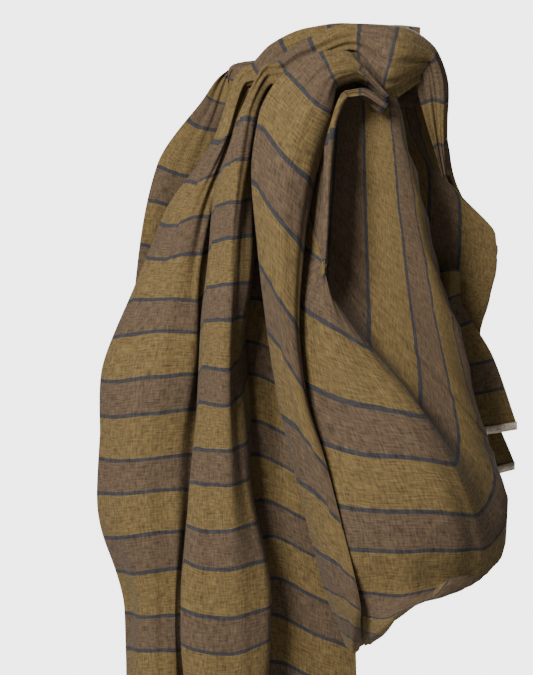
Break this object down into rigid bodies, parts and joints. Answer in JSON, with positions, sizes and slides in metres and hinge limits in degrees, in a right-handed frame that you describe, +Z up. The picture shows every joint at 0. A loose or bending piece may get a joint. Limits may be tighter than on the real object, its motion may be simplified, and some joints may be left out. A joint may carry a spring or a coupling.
{
  "type": "baby wrap sling",
  "caption": "Long striped linen baby wrap caught over one hook: gathered falls at both sides and an open pouch of cloth across the front.",
  "frame": {"origin": "where the underside of the gathered cloth rests on the hook that holds it", "axes": "+Z up, +X to the right as seen from the front, +Y back towards the wall"},
  "size_m": [0.4336, 0.2115, 1.1706],
  "materials": {
    "striped_linen": "matt slubby linen weave, olive and brown bands with thin blue-grey lines",
    "end_hem": "unbleached linen edge, matt",
    "label_tape": "plain woven tape, blank"
  },
  "bodies": {
    "gather": {"rear_roll": "striped_linen", "front_roll": "striped_linen", "right_roll": "striped_linen", "knot": "striped_linen"},
    "left_fall": {"left_rear_panel": "striped_linen", "left_front_panel": "striped_linen", "left_fold_column": "striped_linen", "left_inner_panel": "striped_linen", "left_hem_front": "end_hem", "left_hem_rear": "end_hem"},
    "front_pouch": {"pouch_arm": "striped_linen", "pouch_front": "striped_linen", "pouch_back": "striped_linen", "pouch_bottom": "striped_linen"},
    "right_fall": {"right_rear_panel": "striped_linen", "right_tail_upper": "striped_linen", "right_tail_lower": "striped_linen", "right_hem_front": "end_hem", "right_hem_rear": "end_hem"},
    "label": {"care_label": "label_tape"}
  },
  "joints": [
    {"name": "left_fall_swing", "type": "hinge", "parent": "gather", "child": "left_fall", "pos_m": [-0.135, 0, -0.031], "axis": [0, 1, 0], "range_deg": [0, 12]},
    {"name": "pouch_swing", "type": "hinge", "parent": "gather", "child": "front_pouch", "pos_m": [0, -0.04, -0.045], "axis": [-1, 0, 0], "range_deg": [0, 15]},
    {"name": "right_fall_swing", "type": "hinge", "parent": "gather", "child": "right_fall", "pos_m": [0.04, 0, -0.056], "axis": [0, -1, 0], "range_deg": [0, 12]},
    {"name": "label_swing", "type": "hinge", "parent": "left_fall", "child": "label", "pos_m": [-0.235, -0.024, -1.099], "axis": [1, 0, 0], "range_deg": [-60, 60]}
  ]
}
